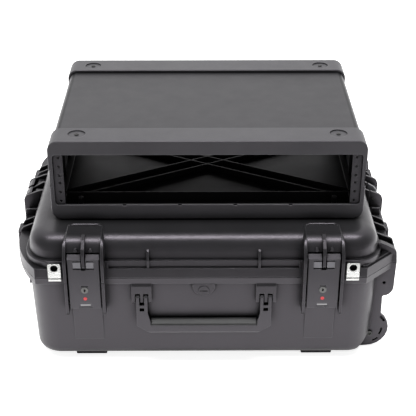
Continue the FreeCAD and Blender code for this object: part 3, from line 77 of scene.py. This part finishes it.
class Shader:
    """One node material, built by short calls."""

    def __init__(self, name):
        self.material = bpy.data.materials.new(name)
        self.material.use_nodes = True
        self.tree = self.material.node_tree
        self.tree.nodes.clear()
        self.output = self.add("ShaderNodeOutputMaterial")
        self.surface = self.add("ShaderNodeBsdfPrincipled")
        self.link(self.surface, "BSDF", self.output, "Surface")
        self.place = self.add("ShaderNodeTexCoord")

    def add(self, kind, **values):
        node = self.tree.nodes.new(kind)
        for key, value in values.items():
            if key in node.inputs:
                node.inputs[key].default_value = value
            else:
                setattr(node, key, value)
        return node

    def link(self, a, out, b, inp):
        self.tree.links.new(a.outputs[out], b.inputs[inp])

    def stretched(self, sx, sy, sz):
        """Object coordinates scaled unevenly, for drawn or brushed lines."""
        mapping = self.add("ShaderNodeMapping")
        mapping.inputs["Scale"].default_value = (sx, sy, sz)
        self.link(self.place, "Object", mapping, "Vector")
        return mapping

    def noise(self, scale, detail=3.0, rough=0.5, source=None):
        node = self.add("ShaderNodeTexNoise")
        node.inputs["Scale"].default_value = scale
        node.inputs["Detail"].default_value = detail
        node.inputs["Roughness"].default_value = rough
        if source is None:
            self.link(self.place, "Object", node, "Vector")
        else:
            self.link(source, "Vector", node, "Vector")
        return node

    def remap(self, source, out, low, high, to_low, to_high):
        node = self.add("ShaderNodeMapRange", clamp=True)
        limits = {"From Min": low, "From Max": high, "To Min": to_low, "To Max": to_high}
        for key, value in limits.items():
            node.inputs[key].default_value = value
        self.link(source, out, node, "Value")
        return node

    def blend(self, source, out, low, high, a, b, most=1.0):
        """Colour that runs from a towards b while the source goes from low to high."""
        return self.mix(self.remap(source, out, low, high, 0.0, most), "Result", a, b)

    def mix(self, factor, factor_out, a, b):
        """Colour mix; a and b are colours or other mixes."""
        node = self.add("ShaderNodeMix", data_type="RGBA")
        self.tree.links.new(factor.outputs[factor_out], node.inputs[0])
        for value, index in ((a, 6), (b, 7)):
            if isinstance(value, tuple):
                node.inputs[index].default_value = value
            else:
                self.tree.links.new(value.outputs[2], node.inputs[index])
        return node

    def edge_mask(self, radius, low=0.01, high=0.16):
        """White on convex and concave edges, and the rounded normal that goes with it."""
        bevel = self.add("ShaderNodeBevel", samples=6)
        bevel.inputs["Radius"].default_value = radius
        geometry = self.add("ShaderNodeNewGeometry")
        dot = self.add("ShaderNodeVectorMath", operation="DOT_PRODUCT")
        self.tree.links.new(bevel.outputs["Normal"], dot.inputs[0])
        self.tree.links.new(geometry.outputs["Normal"], dot.inputs[1])
        inverse = self.add("ShaderNodeMath", operation="SUBTRACT")
        inverse.inputs[0].default_value = 1.0
        self.tree.links.new(dot.outputs["Value"], inverse.inputs[1])
        return bevel, self.remap(inverse, "Value", low, high, 0.0, 1.0)

    def openness(self, reach):
        """Ambient-occlusion mask for painted shade: 0 deep in a crevice, 1 on open faces."""
        node = self.add("ShaderNodeAmbientOcclusion", samples=8)
        node.inputs["Distance"].default_value = reach
        return self.remap(node, "AO", 0.35, 0.93, 0.0, 1.0)

    def product(self, a, b):
        node = self.add("ShaderNodeMath", operation="MULTIPLY")
        self.tree.links.new(a.outputs[0], node.inputs[0])
        self.tree.links.new(b.outputs[0], node.inputs[1])
        return node

    def inside_box(self, low, high, soft):
        """1 inside a box of the object's frame, falling to 0 over a soft margin."""
        split = self.add("ShaderNodeSeparateXYZ")
        self.tree.links.new(self.place.outputs["Object"], split.inputs[0])
        product = None
        for axis, a, b in zip("XYZ", low, high):
            rise = self.remap(split, axis, a - soft, a + soft, 0.0, 1.0)
            fall = self.remap(split, axis, b - soft, b + soft, 1.0, 0.0)
            for step in (rise, fall):
                if product is None:
                    product = step
                    continue
                product = self.product(product, step)
        return product

    def bump(self, height, out, strength, distance, normal=None):
        node = self.add("ShaderNodeBump")
        node.inputs["Strength"].default_value = strength
        node.inputs["Distance"].default_value = distance
        self.link(height, out, node, "Height")
        if normal is not None:
            self.link(normal, "Normal", node, "Normal")
        return node


def grey(value, tint=0.0):
    return (value, value, value * (1.0 + tint), 1.0)


def moulded(name, tone, rough, grain=1500.0, depth=0.00012, radius=0.0008, spec=0.5, areas=()):
    """Injection-moulded plastic: spark-eroded grain, faint flow patches, edges lightened partly as wear and
    partly as painted highlight, painted shade in crevices that darkens the colour and dims the reflection.
    Each area is (low corner, high corner, colour, softness, specular level or None) over the plain tone;
    the label stripes are print and the dark rack bay is painted shade."""
    s = Shader(name)
    patches = s.noise(FLOW_SCALE, 4.0, 0.6)
    fine = s.noise(grain, 2.0, 0.6)
    scuff = s.noise(SCUFF_SCALE, 4.0, 0.6)
    dull, pale = grey(tone * 0.9, PLASTIC_TINT), grey(tone * 1.12, PLASTIC_TINT)
    base = s.blend(patches, "Fac", 0.35, 0.65, dull, pale)
    speckled = s.blend(fine, "Fac", 0.3, 0.7, base, grey(tone * 1.5, PLASTIC_TINT), 0.35)
    # edge colour lightened, partly as wear and partly as painted highlight
    bevel, edges = s.edge_mask(radius)
    rubbed_and_highlit = grey(tone * EDGE_WEAR_AND_HIGHLIGHT + EDGE_HIGHLIGHT_LIFT, PLASTIC_TINT)
    edge_lightened = s.blend(edges, "Result", 0.0, 1.0, speckled, rubbed_and_highlit, EDGE_SHARE)
    # painted shade: the ambient-occlusion mask darkens the colour and dims the reflection in crevices and
    # under parts
    open_face = s.openness(CREVICE_SHADE_REACH)
    shaded = s.mix(open_face, "Result", grey(tone * CREVICE_SHADE_TONE, PLASTIC_TINT), edge_lightened)
    level = s.remap(open_face, "Result", 0.0, 1.0, spec * CREVICE_SHADE_TONE, spec)
    for low, high, colour, soft, area_spec in areas:
        mask = s.inside_box(low, high, soft)
        shaded = s.mix(mask, 0, shaded, colour)
        if area_spec is not None:
            level = s.product(level, s.remap(mask, 0, 0.0, 1.0, 1.0, area_spec / spec))
    s.tree.links.new(shaded.outputs[2], s.surface.inputs["Base Color"])
    s.tree.links.new(level.outputs[0], s.surface.inputs["Specular IOR Level"])
    s.surface.inputs["Specular Tint"].default_value = SHEEN_TINT
    s.link(s.remap(scuff, "Fac", 0.3, 0.75, rough - 0.03, rough + 0.04), "Result", s.surface, "Roughness")
    s.link(s.bump(fine, "Fac", 0.55, depth, bevel), "Normal", s.surface, "Normal")
    return s.material


def metal(name, tone, rough, stretch, depth=0.00003, metallic=1.0):
    """Brushed or drawn metal: fine lines along one direction, soft blotches, rubbed edges."""
    s = Shader(name)
    lines = s.noise(BRUSH_SCALE, 3.0, 0.6, s.stretched(*stretch))
    blotch = s.noise(BLOTCH_SCALE, 4.0, 0.6)
    base = s.blend(blotch, "Fac", 0.3, 0.7, grey(tone * 0.85, METAL_TINT), grey(tone, METAL_TINT))
    bevel, edges = s.edge_mask(FINE_EDGE)
    edge_lightened = s.blend(edges, "Result", 0.0, 1.0, base, grey(min(1.0, tone * 1.2), METAL_TINT), 0.5)
    s.tree.links.new(edge_lightened.outputs[2], s.surface.inputs["Base Color"])
    s.surface.inputs["Metallic"].default_value = metallic
    s.link(s.remap(lines, "Fac", 0.3, 0.7, rough - 0.06, rough + 0.1), "Result", s.surface, "Roughness")
    s.link(s.bump(lines, "Fac", 0.4, depth, bevel), "Normal", s.surface, "Normal")
    return s.material


def rubber(name, tone, rough, grain, depth):
    """Matte elastomer with a dusty bloom on raised spots."""
    s = Shader(name)
    fine = s.noise(grain, 4.0, 0.65)
    bloom = s.noise(BLOOM_SCALE, 5.0, 0.6)
    base = s.blend(bloom, "Fac", 0.35, 0.7, grey(tone, RUBBER_TINT), grey(tone * 1.7, RUBBER_TINT))
    bevel, edges = s.edge_mask(SOFT_EDGE)
    edge_lightened = s.blend(edges, "Result", 0.0, 1.0, base, grey(tone * 2.2, RUBBER_TINT), 0.4)
    s.tree.links.new(edge_lightened.outputs[2], s.surface.inputs["Base Color"])
    s.link(s.remap(fine, "Fac", 0.3, 0.7, rough - 0.08, rough + 0.08), "Result", s.surface, "Roughness")
    s.link(s.bump(fine, "Fac", 0.6, depth, bevel), "Normal", s.surface, "Normal")
    s.surface.inputs["Sheen Weight"].default_value = 0.08
    s.surface.inputs["Specular IOR Level"].default_value = 0.3
    return s.material


def foam_material(name, tone):
    """Open-cell foam: pitted cells darkened in the pits as painted shade, very rough, slightly lighter cell
    walls.
    """
    s = Shader(name)
    cells = s.add("ShaderNodeTexVoronoi")
    cells.inputs["Scale"].default_value = CELL_SCALE
    s.link(s.place, "Object", cells, "Vector")
    cloud = s.noise(CLOUD_SCALE, 4.0, 0.6)
    # painted shade: colour darker towards the centre of each cell
    pit_shade = s.blend(cells, "Distance", 0.05, 0.6, grey(tone * 0.55), grey(tone * 1.3))
    shade = s.blend(cloud, "Fac", 0.35, 0.65, pit_shade, grey(tone * 1.6), 0.4)
    s.tree.links.new(shade.outputs[2], s.surface.inputs["Base Color"])
    s.surface.inputs["Roughness"].default_value = 0.95
    s.link(s.bump(cells, "Distance", 0.8, 0.0012), "Normal", s.surface, "Normal")
    s.surface.inputs["Sheen Weight"].default_value = 0.3
    return s.material


def enamel(name, colour):
    """Filled-in paint spot with a slight orange-peel skin."""
    s = Shader(name)
    fine = s.noise(PAINT_SCALE, 3.0, 0.6)
    dark = tuple(c * 0.75 for c in colour[:3]) + (1.0,)
    base = s.blend(fine, "Fac", 0.3, 0.7, dark, colour)
    s.tree.links.new(base.outputs[2], s.surface.inputs["Base Color"])
    s.link(s.remap(fine, "Fac", 0.3, 0.7, 0.25, 0.4), "Result", s.surface, "Roughness")
    s.link(s.bump(fine, "Fac", 0.2, 0.00004), "Normal", s.surface, "Normal")
    return s.material


RACK_BAY = ((-0.233, -0.1612, 0.2425), (0.246, 0.175, 0.3655))
LABEL_X = 0.187
LABEL_Y = (-0.2437, -0.2420)
LABEL_Z = (0.1222, 0.1250)
LABEL_HALF = 0.008

# painted shade: the inside of the rack bay is coloured near black and reflects less, standing in for the
# shade inside it
rack_bay_painted_shade = RACK_BAY + (grey(0.012, PLASTIC_TINT), 0.0005, 0.16)
labels = []
for side in (-LABEL_X, LABEL_X):
    corner_a = (side - LABEL_HALF, LABEL_Y[0], LABEL_Z[0])
    corner_b = (side + LABEL_HALF, LABEL_Y[1], LABEL_Z[1])
    labels.append((corner_a, corner_b, grey(0.35), 0.0002, None))

finishes = {
    "case_plastic": moulded("case_plastic", 0.014, 0.34, radius=0.0013),
    "latch_plastic": moulded("latch_plastic", 0.027, 0.34, radius=0.0010, areas=labels),
    "trigger_plastic": moulded("trigger_plastic", 0.12, 0.45, radius=0.0006),
    "rack_plastic": moulded(
        "rack_plastic", 0.034, 0.42, grain=1100.0, depth=0.0002, radius=0.0014, areas=[rack_bay_painted_shade]
    ),
    "rail_steel": moulded("rail_steel", 0.022, 0.38, grain=500.0, depth=0.00008, radius=0.0005, spec=0.6),
    "bright_steel": metal("bright_steel", 0.76, 0.26, (0.08, 1.0, 1.0)),
    "pin_steel": metal("pin_steel", 0.06, 0.38, (1.0, 1.0, 0.2)),
    "lock_metal": metal("lock_metal", 0.14, 0.34, (1.0, 1.0, 0.2), metallic=0.7),
    "red_marker": enamel("red_marker", (0.62, 0.03, 0.04, 1.0)),
    "soft_grip": rubber("soft_grip", 0.020, 0.48, 1300.0, 0.0002),
    "tyre": rubber("tyre", 0.018, 0.65, 700.0, 0.0003),
    "tube_aluminium": metal("tube_aluminium", 0.16, 0.3, (1.0, 1.0, 0.05)),
    "foam": foam_material("foam", 0.035),
}


def dress(obj, slot):
    """Give one object the finish of its material slot."""
    obj.data.materials.clear()
    obj.data.materials.append(finishes[slot])


for name, obj in nodes.items():
    dress(obj, slot_of[name])


# ---------------------------------------------------------------- soft parts

def remeshed(node, voxel):
    """Fine even mesh over one soft part, in the frame of the object."""
    source = nodes[node]
    work = bpy.data.objects.new("work", source.data.copy())
    scene.collection.objects.link(work)
    remesh = work.modifiers.new("remesh", "REMESH")
    remesh.mode = "VOXEL"
    remesh.voxel_size = voxel
    bpy.context.view_layer.update()
    shaped = bpy.data.meshes.new_from_object(work.evaluated_get(bpy.context.evaluated_depsgraph_get()))
    bpy.data.objects.remove(work)
    return shaped


def soft_part(name, node, body, voxel, rounds, swell, ripple, ripple_scale):
    """Replace one soft part by a smoothed mesh with a slight crown and an uneven skin."""
    mesh = remeshed(node, voxel)
    edit = bmesh.new()
    edit.from_mesh(mesh)
    for _ in range(rounds):
        bmesh.ops.smooth_vert(
            edit, verts=edit.verts, factor=0.5, use_axis_x=True, use_axis_y=True, use_axis_z=True
        )
    edit.normal_update()
    low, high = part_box(node)
    moved = []
    for vert in edit.verts:
        wave = noise.noise(vert.co * ripple_scale)
        target = vert.co + vert.normal * (swell + ripple * wave)
        moved.append([min(max(target[i], low[i]), high[i]) for i in range(3)])
    for vert, place in zip(edit.verts, moved):
        vert.co = place
    edit.to_mesh(mesh)
    edit.free()
    for face in mesh.polygons:
        face.use_smooth = True
    obj = bpy.data.objects.new(name, mesh)
    scene.collection.objects.link(obj)
    dress(obj, slot_of[node])
    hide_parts(node)
    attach(obj, body)
    return obj


GRIP_SKIN = {"voxel": 0.0009, "rounds": 2, "swell": 0.0001, "ripple": 0.0001, "ripple_scale": 160.0}
FOAM_SKIN = {"voxel": 0.005, "rounds": 3, "swell": 0.0, "ripple": 0.0008, "ripple_scale": 45.0}

soft_part("front_handle_sleeve", "front_handle_grip", "front_handle", **GRIP_SKIN)
soft_part("side_handle_sleeve", "side_handle_grip", "side_handle", **GRIP_SKIN)
soft_part("base_foam_lining", "base_foam", "base", **FOAM_SKIN)
soft_part("lid_foam_lining", "lid_foam", "lid", **FOAM_SKIN)


# ---------------------------------------------------------------- floor, light, camera

FLOOR_SIZE = 60.0
FLOOR_GLOW = 0.85
CARD_EDGE_Y = -0.50
CARD_SIZE = (12.0, 6.0)
CARD_GLOW = 0.18
ROOM_FRONT = 0.2
ROOM_BACK = 1.3
STRIP_PLACE = (0.0, -0.45, 2.7)
STRIP_TARGET = (0.0, -0.1, 0.2)
STRIP_SIZE = (2.6, 0.55)
STRIP_POWER = 84.0
LENS = 90.17
SENSOR = 36.0
CAMERA_PLACE = (-0.0011, -1.6126, 1.0575)
CAMERA_TILT = 61.0
CAMERA_TURN = -0.32


def area_light(name, place, target, size, power):
    """Rectangular soft light that faces its target."""
    data = bpy.data.lights.new(name, "AREA")
    data.energy = power
    data.shape = "RECTANGLE"
    data.size, data.size_y = size
    lamp = bpy.data.objects.new(name, data)
    scene.collection.objects.link(lamp)
    lamp.location = place
    lamp.rotation_euler = (Vector(target) - Vector(place)).to_track_quat("-Z", "Y").to_euler()


def make_floor():
    """Pale sweep that glows a little, so that its own shadows stay faint."""
    bpy.ops.mesh.primitive_plane_add(size=FLOOR_SIZE, location=(0, 0, -0.0005))
    floor = bpy.context.object
    floor.name = "floor"
    s = Shader("pale_floor")
    fine = s.noise(30.0, 3.0)
    tone = s.blend(fine, "Fac", 0.3, 0.7, grey(0.93), grey(0.95))
    s.tree.links.new(tone.outputs[2], s.surface.inputs["Base Color"])
    s.surface.inputs["Roughness"].default_value = 0.9
    s.surface.inputs["Emission Color"].default_value = (1, 1, 1, 1)
    s.surface.inputs["Emission Strength"].default_value = FLOOR_GLOW
    floor.data.materials.append(s.material)


def make_dark_card():
    """Dark studio floor in front of the sweep, seen only in reflections."""
    bpy.ops.mesh.primitive_plane_add(size=1.0, location=(0, CARD_EDGE_Y - CARD_SIZE[1] / 2, 0.002))
    card = bpy.context.object
    card.name = "dark_card"
    card.scale = CARD_SIZE + (1.0,)
    s = Shader("dark_card")
    s.surface.inputs["Base Color"].default_value = grey(0.02)
    s.surface.inputs["Emission Color"].default_value = (1, 1, 1, 1)
    s.surface.inputs["Emission Strength"].default_value = CARD_GLOW
    card.data.materials.append(s.material)
    card.visible_camera = False
    card.visible_diffuse = False
    card.visible_shadow = False
    card.visible_transmission = False


def make_world():
    """White room behind the object and a darker one in front of it; the camera sees plain white."""
    world = bpy.data.worlds.new("studio")
    scene.world = world
    world.use_nodes = True
    tree = world.node_tree
    background = tree.nodes["Background"]
    place = tree.nodes.new("ShaderNodeTexCoord")
    split = tree.nodes.new("ShaderNodeSeparateXYZ")
    tree.links.new(place.outputs["Generated"], split.inputs[0])
    ramp = tree.nodes.new("ShaderNodeMapRange")
    ramp.interpolation_type = "SMOOTHSTEP"
    limits = {"From Min": -0.25, "From Max": 0.55, "To Min": ROOM_FRONT, "To Max": ROOM_BACK}
    for key, value in limits.items():
        ramp.inputs[key].default_value = value
    tree.links.new(split.outputs["Y"], ramp.inputs["Value"])
    path = tree.nodes.new("ShaderNodeLightPath")
    choose = tree.nodes.new("ShaderNodeMix")
    choose.data_type = "FLOAT"
    tree.links.new(path.outputs["Is Camera Ray"], choose.inputs[0])
    tree.links.new(ramp.outputs["Result"], choose.inputs[2])
    choose.inputs[3].default_value = 1.0
    tree.links.new(choose.outputs[0], background.inputs["Strength"])
    background.inputs["Color"].default_value = (1.0, 1.0, 1.0, 1.0)


def make_camera():
    """Long lens in front of the object, looking down a little less than thirty degrees."""
    data = bpy.data.cameras.new("camera")
    data.lens = LENS
    data.sensor_width = SENSOR
    data.clip_end = 200.0
    camera = bpy.data.objects.new("camera", data)
    scene.collection.objects.link(camera)
    camera.location = CAMERA_PLACE
    camera.rotation_euler = (math.radians(CAMERA_TILT), 0.0, math.radians(CAMERA_TURN))
    scene.camera = camera


make_floor()
make_dark_card()
make_world()
area_light("overhead_strip", STRIP_PLACE, STRIP_TARGET, STRIP_SIZE, STRIP_POWER)
make_camera()
scene.view_settings.view_transform = "Standard"
